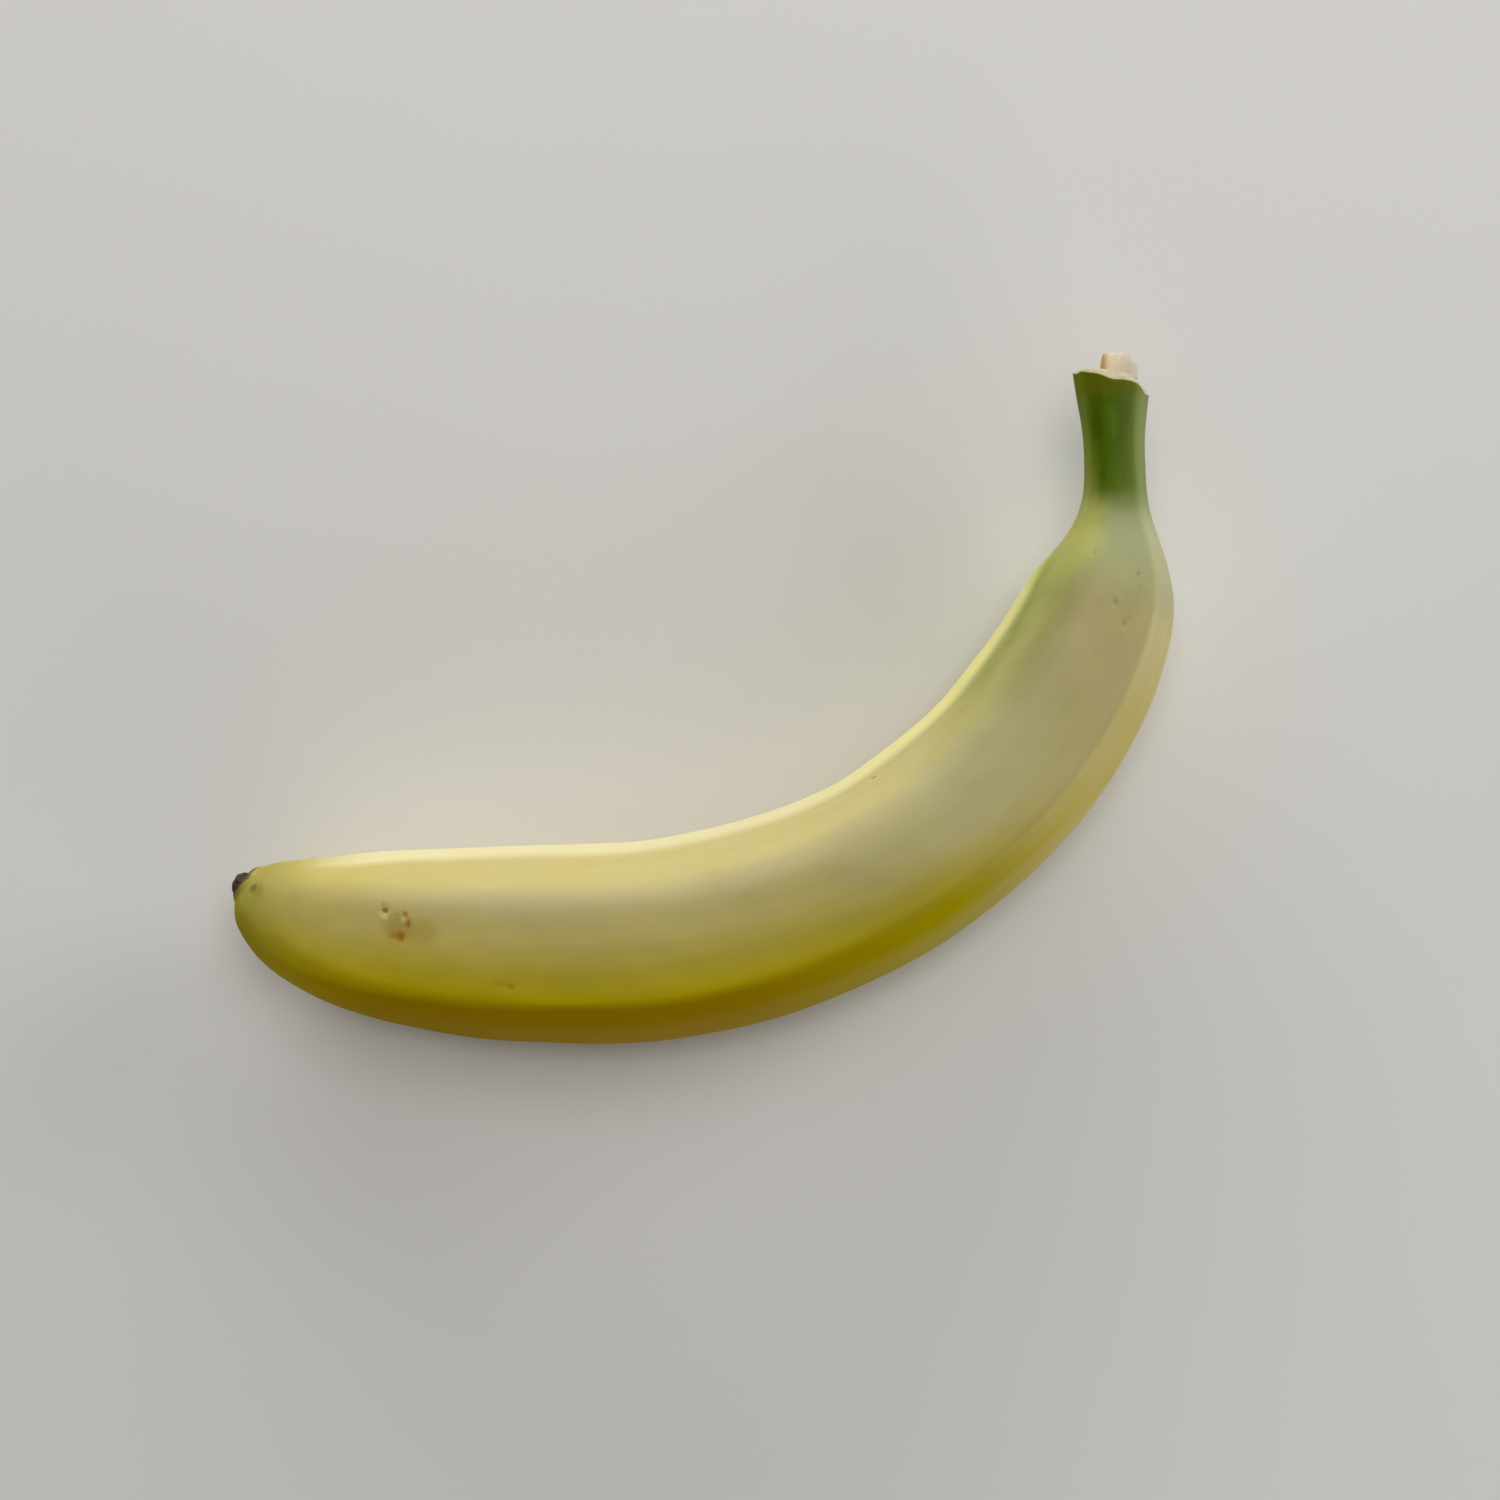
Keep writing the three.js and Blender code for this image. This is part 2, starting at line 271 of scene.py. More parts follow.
# Old wounds in the peel: (station, degrees past the first ridge, radius, depth), a dent if the depth
# is over zero and a raised rim or wart if it is under.
WOUNDS = [
    (27.1, 53.4, 0.75, 0.25),
    (27.1, 48.5, 0.7, -0.12),
    (30.9, 51.1, 0.45, 0.1),
    (30.7, 48, 0.5, -0.1),
    (31.7, 44, 0.55, 0.12),
    (29.3, 35.9, 0.6, 0.1),
    (30.5, 35.4, 0.8, 0.16),
    (50.4, 10.4, 0.6, 0.1),
    (1.6, 39.6, 0.9, 0.16),
    (126, 99.8, 0.65, 0.12),
    (189.4, 57, 0.7, 0.16),
    (189.3, 53.3, 0.7, -0.1),
    (186.8, 13.3, 0.55, 0.12),
    (181.2, 28.8, 0.6, 0.14),
    (181.6, 25.8, 0.6, -0.08),
    (178.4, 17.5, 0.65, 0.12),
]


def wound_relief(points):
    """Height that the wounds give the skin: one bell-shaped dent or bump for each."""
    relief = np.zeros(points.shape[:2])
    for at, past, radius, depth in WOUNDS:
        distance = np.linalg.norm(points - on_skin(at, past), axis=-1)
        relief -= depth * np.exp(-(distance / radius) ** 2)
    return relief


# Unevenness of the skin, as (height of the waves, length of the waves): long swells on the body, short
# ripples everywhere but on the table, and two sizes of tears in the crown.
SWELL = (0.16, 26)
RIPPLE = (0.035, 7)
TEAR = (0.1, 1.6)
FINE_TEAR = (0.05, 0.7)


def roughened(unevenness, seed):
    """Waves over the skin, from their height and length and a seed."""
    height, length = unevenness
    return height * waves(straight, length, seed)


off_table = smoothstep(0.2, 3, rings[..., 2])
body = smoothstep(2, 14, station) * smoothstep(220, 205, station)
relief = off_table * (body * roughened(SWELL, 1) + roughened(RIPPLE, 2))
relief += wound_relief(straight)
relief += torn * (roughened(TEAR, 3) + roughened(FINE_TEAR, 4))
rings = rings + relief[..., None] * outward_normals(rings)
rings[..., 2] = np.maximum(rings[..., 2], 0)


def closed_mesh(name, grid, **attributes):
    """A closed mesh from a grid of rings: quads between neighbouring rings and a fan of triangles to the
    middle of the first and last. Keyword arrays, one value or vector a grid point, become attributes."""
    ring_count, side_count = grid.shape[:2]
    index = np.arange(ring_count * side_count).reshape(ring_count, side_count)
    turned = np.roll(index, -1, 1)
    quads = np.stack([index[:-1], index[1:], turned[1:], turned[:-1]], -1).reshape(-1, 4)
    first, last = index.size, index.size + 1
    fans = [(first, a, b) for a, b in zip(index[0].tolist(), turned[0].tolist())]
    fans += [(last, b, a) for a, b in zip(index[-1].tolist(), turned[-1].tolist())]

    def with_poles(values):
        flat = values.reshape(index.size, -1)
        return np.concatenate([flat, [flat[index[0]].mean(0)], [flat[index[-1]].mean(0)]])

    mesh = bpy.data.meshes.new(name)
    mesh.from_pydata((with_poles(grid) * MM).tolist(), [], quads.tolist() + fans)
    for title, values in attributes.items():
        vector = values.ndim == 3
        made = mesh.attributes.new(title, "FLOAT_VECTOR" if vector else "FLOAT", "POINT")
        made.data.foreach_set("vector" if vector else "value", with_poles(values).astype("f").ravel())
    mesh.shade_smooth()
    piece = bpy.data.objects.new(name, mesh)
    bpy.context.scene.collection.objects.link(piece)
    return piece


# Masks over the skin, one value a point, for where each finish lies. A place is told by its station, by
# how far across the fruit it lies, from -1 on the hollow side to 1 on the outer side, by its level as a
# share of the width there, and by its angle past the first ridge. Lists hold (station, value).
BORDER_WAVES = (1.2, 11)  # unevenness of the borders on the neck, coarse and fine
BORDER_RIPPLE = (0.5, 4)
half = half_width(np.clip(station, 0, RIM_STATION))
across = straight[..., 1] / half
level = straight[..., 2] / (2 * half)
uneven = station + roughened(BORDER_WAVES, 5) + roughened(BORDER_RIPPLE, 6)


def by_station(knots):
    """A value for every point of the skin: straight lines between (station, value) knots."""
    return np.interp(station, *np.transpose(knots))


def fading(*borders):
    """A mask with soft borders, each (what is measured, where the mask is 0, where it is 1): the product of
    their smoothsteps."""
    return np.prod([smoothstep(none, full, measure) for measure, none, full in borders], 0)


# Wax bloom with a painted sheen, paler where the low light glances off the wax: dense on the upper face up
# to a share across that changes along the fruit, where it fades out, thinner near the neck on the strip
# outside the first ridge, and thin underneath and at the tip. A painted rim light brightens the outermost
# flank.
HAZE_END = [(0, 0.3), (12, 0.22), (30, 0.09), (95, 0.13), (112, 0.2), (125, 0.3), (143, 0.7), (160, 1.3)]
HAZE_FULL = [(0, 0.45), (20, 0.6), (45, 0.72), (130, 0.8), (150, 0.86), (178, 0.9)]
HAZE_RIM = [(0, 0.12), (26, 0.06), (60, 0.1), (100, 0.15), (112, 0.24), (125, 0.4), (143, 0.55), (154, 0.48),
            (165, 0)]
HAZE_UNDERNEATH = 0.45
HAZE_AT_TIP = 0.04
OUTER_STRIP = (across, 0.54, 0.63)
STRIP_THINNING = 0.35
underneath = fading((level, 0.42, 0.15))
haze = by_station(HAZE_FULL) * fading((across - by_station(HAZE_END), 0.42, -0.55))
haze *= 1 - STRIP_THINNING * fading(OUTER_STRIP, (station, 140, 152), (station, 178, 165))
# A painted rim light along the outermost flank, made with more of the same pale colour.
haze = np.maximum(haze, by_station(HAZE_RIM) * fading((across, 0.7, 0.96)))
haze = np.maximum(haze, HAZE_UNDERNEATH * underneath)
haze = np.maximum(haze, HAZE_AT_TIP * fading((station, 24, 8)))

# A cooler cast on the upper face at the bend, and a painted highlight, a paler line, along the worn ridge.
COOL_CAST = [(105, 0), (125, 0.5), (143, 1), (155, 0.4), (165, 0)]
RIDGE_WAX = [(0, 0), (20, 0.3), (45, 1), (105, 1), (125, 0.5), (145, 0.5), (170, 0)]
WAX_ACROSS = -0.49
WAX_WIDTH = 0.13
cool = by_station(COOL_CAST) * fading((across, 0.4, 0), (across, -0.75, -0.45))
ridge_wax = by_station(RIDGE_WAX) * np.exp(-((across - WAX_ACROSS) / WAX_WIDTH) ** 2)

# A painted rim light along the edge on the hollow side, which begins at a share across that changes
# along the fruit. It is yellower in the half towards the stalk.
EDGE_START = [(12, -0.8), (40, -0.86), (165, -0.86), (180, -0.88), (190, -0.94)]
pale_edge = fading((across - by_station(EDGE_START), 0, -0.09), (station, 2, 24), (uneven, 197, 179),
                   (around, 174, 150))
stalk_half = fading((station, 100, 150))

# Browner skin with painted shade on the outer flank: it begins at a share across that changes along the
# fruit, and is fainter underneath.
RUST_EDGE = [(5, 0.62), (12, 0.58), (36, 0.52), (55, 0.49)]
RUST_FULL = [(4, 0), (28, 1)]
RUST_LOST_UNDERNEATH = 0.6
rust = by_station(RUST_FULL) * fading((across - by_station(RUST_EDGE), 0, 0.14), (station, 122, 80))
rust *= 1 - RUST_LOST_UNDERNEATH * underneath

# Painted shade on the bend, but not on its outer strip, and on the inner side of the first ridge.
BEND = [(72, 0), (90, 0.5), (107, 0.9), (125, 1), (143, 0.7), (161, 0.5), (179, 0)]
RIDGE_SIDE = [(9, 0), (26, 0.75), (85, 0.75), (95, 0.5), (125, 0.35), (140, 0)]
bend = by_station(BEND) * fading((across, -0.5, -0.05)) * (1 - fading(OUTER_STRIP, (station, 130, 150)))
bend += by_station(RIDGE_SIDE) * fading((across, -0.15, 0.3), (across, 0.62, 0.5))

# The neck, grey-green and darkened by painted shade, with a strip on its outer flank, and tinged green and
# lime on its hollow side.
neck = fading((uneven, 178, 190))
neck_strip = fading((across, 0.575, 0.63), (uneven, 178, 190), (uneven, 200, 194))
tinge = fading((station, 118, 180), (uneven, 197, 181)) * np.clip((-0.22 - across) / 0.58, 0, 1)
lime = fading((uneven, 178, 194), (across, -0.05, -0.75))

# The stalk, whose green reaches GREEN_LEAN further down on the hollow side than on the outer one.
GREEN_LEAN = 1.6
green = fading((uneven + GREEN_LEAN * (0.5 - fading((across, -0.45, 0.45))), 195, 203.5))
dark_side = fading((station, 202, 212), (across, -0.3, -0.55), (across, -0.9, -0.75))
stalk_foot = fading((station, 218, 200))
browned = fading((station, 216.5, 219.5))

# The outer flank towards the blossom end and the stalk's hollow side have no sheen.
dull = fading((across, 0.42, 0.56), (station, 165, 125))
dull += fading((across, -0.4, -0.75), (station, 198, 206))

# The blossom end, olive round a dark scar with an uneven border.
SCAR_RIPPLE = (0.22, 3)
INNER_OLIVE = 0.6  # share of the olive that is left on the hollow side
tip_tinge = fading((station, 14, 0)) * (INNER_OLIVE + (1 - INNER_OLIVE) * fading((across, -0.6, 0.3)))
scar = fading((station + roughened(SCAR_RIPPLE, 31), -0.35, -1.05))

peel = closed_mesh("peel", rings, straight=straight * MM, across=across, torn=torn, scar=scar,
                   haze=haze, cool=cool, ridge_wax=ridge_wax, rust=rust, dull=dull, bend=bend,
                   neck=neck, neck_strip=neck_strip, tinge=tinge, lime=lime, pale_edge=pale_edge,
                   stalk_half=stalk_half, tip_tinge=tip_tinge, green=green, dark_side=dark_side,
                   browned=browned, stalk_foot=stalk_foot)


def add(tree, kind, inputs=None, **settings):
    """Adds a node. Each input gets a value, or a link where the value is another node's socket."""
    made = tree.nodes.new(kind)
    for name, value in settings.items():
        setattr(made, name, value)
    for name, value in (inputs or {}).items():
        if isinstance(value, bpy.types.NodeSocket):
            tree.links.new(value, made.inputs[name])
        else:
            made.inputs[name].default_value = value
    return made


def attribute(tree, name, output="Fac"):
    """The socket of a mesh attribute."""
    return add(tree, "ShaderNodeAttribute", attribute_name=name).outputs[output]


def mixed(tree, amount, first, second, blend_type="MIX"):
    """A colour between two, by an amount: inputs 0, 6 and 7 and output 2 are those of a colour mix."""
    node = add(tree, "ShaderNodeMix", {0: amount, 6: first, 7: second},
               data_type="RGBA", blend_type=blend_type)
    return node.outputs[2]


def calculated(tree, operation, first, second=0.0, third=0.0):
    """A maths node on up to three values or sockets."""
    node = add(tree, "ShaderNodeMath", {0: first, 1: second, 2: third}, operation=operation)
    return node.outputs[0]


def new_group(name, inputs, outputs):
    """A shader node group with the named (socket type, name) sockets. Returns its tree and both ends."""
    tree = bpy.data.node_groups.new(name, "ShaderNodeTree")
    for kind, title in inputs:
        tree.interface.new_socket(title, in_out="INPUT", socket_type=kind)
    for kind, title in outputs:
        tree.interface.new_socket(title, in_out="OUTPUT", socket_type=kind)
    return tree, tree.nodes.new("NodeGroupInput"), tree.nodes.new("NodeGroupOutput")


# Blotches: soft noise cut to a mask, stretched along the fruit by as much as its maker asks.
blotches, ends_in, ends_out = new_group(
    "blotches",
    [("NodeSocketVector", "Place"), ("NodeSocketVector", "Scale"), ("NodeSocketFloat", "Low"),
     ("NodeSocketFloat", "High")],
    [("NodeSocketFloat", "Mask")])
stretched = add(blotches, "ShaderNodeVectorMath",
                {0: ends_in.outputs["Place"], 1: ends_in.outputs["Scale"]}, operation="MULTIPLY")
cloud = add(blotches, "ShaderNodeTexNoise",
            {"Vector": stretched.outputs[0], "Scale": 1.0, "Detail": 4.0, "Roughness": 0.55})
cut = add(blotches, "ShaderNodeMapRange",
          {"Value": cloud.outputs[0], "From Min": ends_in.outputs["Low"],
           "From Max": ends_in.outputs["High"]}, interpolation_type="SMOOTHSTEP")
blotches.links.new(cut.outputs[0], ends_out.inputs["Mask"])


def blotch(tree, place, scale, low=0.4, high=0.6):
    """The mask of one use of the blotches group, whose scale is in blotches a metre along, across and up.
    It is 0 where the noise is under low and 1 where it is over high."""
    node = add(tree, "ShaderNodeGroup", node_tree=blotches)
    tree.links.new(place, node.inputs["Place"])
    node.inputs["Scale"].default_value = scale
    node.inputs["Low"].default_value = low
    node.inputs["High"].default_value = high
    return node.outputs["Mask"]


# Spot: a soft round mark about a centre, as long or as narrow as its reach along each axis makes it.
spots, ends_in, ends_out = new_group(
    "spot",
    [("NodeSocketVector", "Place"), ("NodeSocketVector", "Centre"), ("NodeSocketVector", "Reach")],
    [("NodeSocketFloat", "Mask")])
away = add(spots, "ShaderNodeVectorMath",
           {0: ends_in.outputs["Place"], 1: ends_in.outputs["Centre"]}, operation="SUBTRACT")
shares = add(spots, "ShaderNodeVectorMath",
             {0: away.outputs[0], 1: ends_in.outputs["Reach"]}, operation="DIVIDE")
far = add(spots, "ShaderNodeVectorMath", {0: shares.outputs[0]}, operation="LENGTH")
cut = add(spots, "ShaderNodeMapRange", {"Value": far.outputs["Value"], "From Min": 1.0, "From Max": 0.3},
          interpolation_type="SMOOTHSTEP")
spots.links.new(cut.outputs[0], ends_out.inputs["Mask"])


def spot(tree, place, centre, reach):
    """The mask of one use of the spot group."""
    node = add(tree, "ShaderNodeGroup", node_tree=spots)
    tree.links.new(place, node.inputs["Place"])
    node.inputs["Centre"].default_value = centre
    node.inputs["Reach"].default_value = reach
    return node.outputs["Mask"]


peel_finish = bpy.data.materials.new("waxy_peel")
peel_finish.use_nodes = True
tree = peel_finish.node_tree
principled = tree.nodes["Principled BSDF"]
place = attribute(tree, "straight", "Vector")

YELLOW = (0.53, 0.405, 0.001, 1)
# Wax bloom with a painted sheen.
HAZY = (0.6, 0.525, 0.265, 1)
# Browner skin with painted shade, for the outer flank.
RUSTY = (0.42, 0.25, 0.001, 1)
GREENISH = (0.275, 0.305, 0.058, 1)
SHADE = (0.66, 0.69, 0.64, 1)
STREAK = (0.8, 0.77, 0.62, 1)
COOL = (0.63, 0.59, 0.34, 1)
# Grey-green of the neck, darkened by painted shade.
NECK_GREY = (0.355, 0.365, 0.185, 1)
NECK_BEIGE = (0.475, 0.455, 0.255, 1)
LEAF = (0.135, 0.245, 0.016, 1)
DEEP_LEAF = (0.085, 0.155, 0.001, 1)
LIME = (0.24, 0.28, 0.03, 1)
NECK_LIME = (0.46, 0.45, 0.085, 1)
OLIVE = (0.17, 0.165, 0.004, 1)
PALE_LEAF = (0.21, 0.245, 0.08, 1)
LEAF_EDGE = (0.245, 0.255, 0.085, 1)
PITH = (0.53, 0.46, 0.32, 1)
# Colours of the painted highlight on the worn ridge and of the painted rim light on the hollow side.
PALE_WAX = (0.84, 0.77, 0.46, 1)
YELLOW_WAX = (0.95, 0.88, 0.36, 1)
LIME_WAX = (0.5, 0.53, 0.085, 1)
TIP_OLIVE = (0.25, 0.235, 0.03, 1)
SCAR_BROWN = (0.1, 0.07, 0.025, 1)
PIT = (0.15, 0.1, 0.005, 1)
BROWN = (0.36, 0.175, 0.012, 1)
HALO = (0.37, 0.235, 0.035, 1)
DARK_LEAF = (0.065, 0.105, 0.001, 1)
# Pale spots on the bruise: painted highlights on its raised rims.
LIGHT = (0.62, 0.6, 0.27, 1)

# Marks in the skin: (station, degrees past the first ridge, reach along, across and up, amount, colour).
# The pale spots on the bruise are painted highlights on its raised rims.
# Their edges are uneven: the place is moved by noise of 0 to MARK_WOBBLE mm, half of it on average.
MARK_WOBBLE = 0.7
MARKS = [
    (34.2, 40.5, 4.2, 3.6, 3.6, 0.34, HALO),
    (29.9, 41.5, 3.8, 4.0, 3.4, 0.55, HALO),
    (26.7, 57.4, 0.6, 0.6, 1.2, 0.2, PIT),
    (27.2, 53.2, 0.85, 0.65, 1.2, 0.75, PIT),
    (27, 48.5, 1.2, 0.75, 1.2, 0.7, LIGHT),
    (29.4, 51.7, 0.5, 0.5, 1.2, 0.2, PIT),
    (30.9, 51.1, 0.65, 0.8, 1.2, 0.75, BROWN),
    (31.6, 47.5, 0.45, 1.0, 1.2, 0.5, BROWN),
    (30.6, 47.7, 0.6, 0.9, 1.2, 0.6, LIGHT),
    (31.7, 44, 0.6, 1.1, 1.2, 0.8, BROWN),
    (29.2, 35.7, 0.95, 0.8, 1.2, 0.6, BROWN),
    (30.5, 35.4, 1.1, 1.2, 1.2, 0.95, BROWN),
    (50.4, 10.4, 1.0, 0.8, 1.2, 0.4, PIT),
    (48.5, 12, 1.5, 1.1, 1.2, 0.15, PIT),
    (1.5, 39.6, 1.5, 1.3, 2.2, 0.7, PIT),
    (2.6, 41, 2.6, 1.8, 2.6, 0.3, PIT),
    (126.2, 100.3, 0.8, 0.6, 1.0, 0.6, PIT),
    (125.8, 96.9, 0.9, 0.55, 1.0, 0.35, LIGHT),
    (189.4, 56.8, 0.9, 0.45, 1.2, 0.2, PIT),
    (186.8, 13.3, 0.65, 0.5, 1.2, 0.3, PIT),
    (185.0, 11.5, 0.6, 0.45, 1.2, 0.12, PIT),
    (184.4, 6.7, 0.6, 0.45, 1.2, 0.12, PIT),
    (181.3, 28.8, 0.8, 0.5, 1.2, 0.2, PIT),
    (178.4, 17.5, 0.8, 0.65, 1.2, 0.2, PIT),
    (179.5, 14.3, 0.6, 0.5, 1.2, 0.12, PIT),
    (212.5, 66.3, 3.6, 1.6, 2.5, 0.6, DARK_LEAF),
]


def share(tree, name, amount):
    """A mesh attribute times an amount, which is a value or a socket."""
    return calculated(tree, "MULTIPLY", attribute(tree, name), amount)


def layered(tree, base, *layers):
    """A colour under layers of (mesh attribute, amount, colour), mixed over it one after another."""
    for name, amount, over in layers:
        base = mixed(tree, share(tree, name, amount), base, over)
    return base


def ranged(tree, value, none, full, most=1.0, curve="LINEAR"):
    """An amount that grows from 0, where the value is at `none`, to the most, where it is at `full`."""
    node = add(tree, "ShaderNodeMapRange",
               {"Value": value, "From Min": none, "From Max": full, "To Max": most},
               interpolation_type=curve)
    return node.outputs[0]


def varied(tree, mask, least, spread):
    """A mask times the spread, plus the least: each of them is a value or a socket."""
    return calculated(tree, "MULTIPLY_ADD", mask, spread, least)


# The body's colours: browner skin with painted shade on the outer flank, an uneven wax bloom with a painted
# sheen, and faint lengthwise streaks.
mottle = varied(tree, blotch(tree, place, (70, 120, 120), 0.3, 0.7), 0.93, 0.14)
streak = calculated(tree, "MULTIPLY", blotch(tree, place, (28, 380, 380), 0.35, 0.75), 0.22)
skin_colour = layered(tree, YELLOW, ("rust", 1.0, RUSTY), ("haze", mottle, HAZY), ("cool", 0.6, COOL))
skin_colour = mixed(tree, streak, skin_colour, STREAK, "MULTIPLY")
# A painted highlight along the worn ridge.
skin_colour = layered(tree, skin_colour, ("ridge_wax", 0.3, PALE_WAX))
# Painted shade on the bend and beside the first ridge.
skin_colour = mixed(tree, share(tree, "bend", 0.5), skin_colour, SHADE, "MULTIPLY")

# The neck, grey-green and darkened by painted shade, with a beige strip on the outer flank and lime on the
# hollow side.
patchy = varied(tree, blotch(tree, place, (60, 150, 150), 0.35, 0.65), 0.75, 0.3)
skin_colour = layered(tree, skin_colour, ("neck", 1.0, NECK_GREY), ("neck_strip", 0.8, NECK_BEIGE),
                      ("tinge", patchy, GREENISH), ("lime", 0.8, NECK_LIME))

# The stalk, leaf green: lime at its foot on the hollow side, paler outwards, and with pale edges.
stalk_colour = mixed(tree, blotch(tree, place, (60, 200, 200), 0.35, 0.65), LEAF, DEEP_LEAF)
side = attribute(tree, "across")
lower_left = share(tree, "stalk_foot", ranged(tree, side, -0.5, -0.95))
stalk_colour = mixed(tree, lower_left, stalk_colour, LIME)
stalk_colour = mixed(tree, ranged(tree, side, -0.25, 0.6, 0.5), stalk_colour, PALE_LEAF)
stalk_colour = mixed(tree, ranged(tree, side, 0.62, 0.76, 0.7, "SMOOTHSTEP"), stalk_colour, LEAF_EDGE)
stalk_colour = mixed(tree, ranged(tree, side, -0.8, -0.92, 0.4, "SMOOTHSTEP"), stalk_colour, LEAF_EDGE)
stalk_colour = layered(tree, stalk_colour, ("dark_side", 0.35, DARK_LEAF), ("browned", 0.6, OLIVE))
skin_colour = layered(tree, skin_colour, ("green", 1.0, stalk_colour))

# The painted rim light on the hollow side, the blossom end, the marks and the torn crown lie over all of
# them.
wax = layered(tree, PALE_WAX, ("stalk_half", 1.0, YELLOW_WAX), ("lime", 1.0, LIME_WAX))
skin_colour = layered(tree, skin_colour, ("pale_edge", 0.74, wax), ("tip_tinge", 0.75, TIP_OLIVE),
                      ("scar", 1.0, SCAR_BROWN))
wobble = add(tree, "ShaderNodeTexNoise", {"Vector": place, "Scale": 1300.0, "Detail": 2.0})
wobbled = add(tree, "ShaderNodeVectorMath",
              {0: wobble.outputs["Color"], 1: (MARK_WOBBLE * MM,) * 3, 2: place}, operation="MULTIPLY_ADD")
for at, past, *reach_of, amount, mark in MARKS:
    centre = (on_skin(at, past) + MARK_WOBBLE / 2) * MM
    mask = spot(tree, wobbled.outputs[0], centre, np.array(reach_of) * MM)
    skin_colour = mixed(tree, calculated(tree, "MULTIPLY", mask, amount), skin_colour, mark)
skin_colour = layered(tree, skin_colour, ("torn", 1.0, PITH))
tree.links.new(skin_colour, principled.inputs["Base Color"])

grain = blotch(tree, place, (150, 900, 900), 0.2, 0.8)
pores = blotch(tree, place, (1300, 1300, 1300), 0.35, 0.65)
height = varied(tree, pores, grain, 0.3)
bump = add(tree, "ShaderNodeBump", {"Strength": 0.2, "Distance": 0.00006, "Height": height})
tree.links.new(bump.outputs[0], principled.inputs["Normal"])
roughness = varied(tree, blotch(tree, place, (120, 300, 300)), 0.5, 0.08)
tree.links.new(roughness, principled.inputs["Roughness"])
SHEEN = 0.24
sheen = varied(tree, attribute(tree, "dull"), SHEEN, -SHEEN)
tree.links.new(sheen, principled.inputs["Specular IOR Level"])
principled.inputs["Specular Tint"].default_value = (1, 0.88, 0.3, 1)
principled.inputs["Subsurface Weight"].default_value = 0.05
principled.inputs["Subsurface Radius"].default_value = (0.003, 0.002, 0.0005)
principled.inputs["Subsurface Scale"].default_value = 1.0

peel.data.materials.append(peel_finish)
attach(peel, "root")
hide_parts("banana")

# ---- Stump of pith -----------------------------------------------------------------------------
# The pale core of the stalk, left standing when the fruit was torn from its hand: a short ragged
# column of dry fibres, grown out of the crown and stained brown on its inner side.

crown_middle = skin_rings[-1].mean(0) + to_frame
crown_way, crown_out = direction(RIM_STATION, 0), direction(RIM_STATION, -90)
crown_up = np.array([0, 0, 1])
STUMP_REACH_OUT = 3.3
STUMP_REACH_UP = 3.1
STUMP_FOOT = 0.5  # its foot and its top, measured out from the skin's last ring
STUMP_TOP = 4.85
STUMP_SHIFT = 0.95  # it stands this far to the outer side of the rim's middle
STEP_DOWN = 2.1  # its outer side is broken off this much lower
BROKEN_CELL = 0.42  # side of a bundle of fibres that is broken off at one height
BROKEN_DEPTH = 0.2


def stump_surface(turn, along):
    """A ragged column: over the first part of `along` it climbs its side and tapers with the cube of the
    height, then it closes over the broken top, where each small cell is broken off at its own height."""
    climb = np.clip(along / 0.55, 0, 1)
    close = np.clip((along - 0.55) / 0.45, 0, 1)
    width = (1 - 0.2 * climb ** 3) * np.cos(close * np.pi / 2) ** 0.7
    ripple = 1 + 0.025 * np.sin(5 * turn + 1) + 0.015 * np.sin(11 * turn + 2 * climb)
    ripple += 0.008 * np.sin(23 * turn)
    out = STUMP_REACH_OUT * width * ripple * np.cos(turn)
    up = STUMP_REACH_UP * width * ripple * np.sin(turn)
    cells = np.random.default_rng(11).uniform(-1, 1, (40, 40))
    column, row = (np.floor(side / BROKEN_CELL).astype(int) + 20 for side in (out, up))
    lower = BROKEN_DEPTH * cells[column, row] - 0.06 * out - STEP_DOWN * smoothstep(1.9, 2.7, out)
    rise = STUMP_FOOT + (STUMP_TOP - STUMP_FOOT) * climb + climb ** 5 * lower
    return out, up, rise


STUMP_SIDES = 150
STUMP_RINGS = 90
turn, along = np.meshgrid(np.arange(STUMP_SIDES) * 2 * np.pi / STUMP_SIDES,
                          np.linspace(0, 0.985, STUMP_RINGS))
stump_out, stump_up, stump_rise = stump_surface(turn, along)
stump_rings = (crown_middle + (stump_out + STUMP_SHIFT)[..., None] * crown_out
               + stump_up[..., None] * crown_up + stump_rise[..., None] * crown_way)
stump_place = np.stack([stump_rise, stump_out, stump_up], -1)
# Its inner side is stained above the foot, and its outer side has weathered grey.
stain = smoothstep(-1.6, -2.9, stump_out) * smoothstep(1.2, 2.4, stump_rise)
outer = smoothstep(-0.8, 1.8, stump_out)
stump = closed_mesh("pith_stump", stump_rings, straight=stump_place * MM, stain=stain, outer=outer)

pith_finish = bpy.data.materials.new("dry_pith")
pith_finish.use_nodes = True
tree = pith_finish.node_tree
principled = tree.nodes["Principled BSDF"]
place = attribute(tree, "straight", "Vector")
CREAM = (0.88, 0.74, 0.49, 1)
GREY_CREAM = (0.55, 0.49, 0.38, 1)
STAIN = (0.5, 0.31, 0.1, 1)
greyed = varied(tree, blotch(tree, place, (250, 700, 700), 0.3, 0.75), share(tree, "outer", 0.75), 0.25)
pith_colour = layered(tree, mixed(tree, greyed, CREAM, GREY_CREAM), ("stain", 1.0, STAIN))
tree.links.new(pith_colour, principled.inputs["Base Color"])
fibres = blotch(tree, place, (300, 2200, 2200), 0.25, 0.75)
bump = add(tree, "ShaderNodeBump", {"Strength": 0.3, "Distance": 0.00015, "Height": fibres})
tree.links.new(bump.outputs[0], principled.inputs["Normal"])
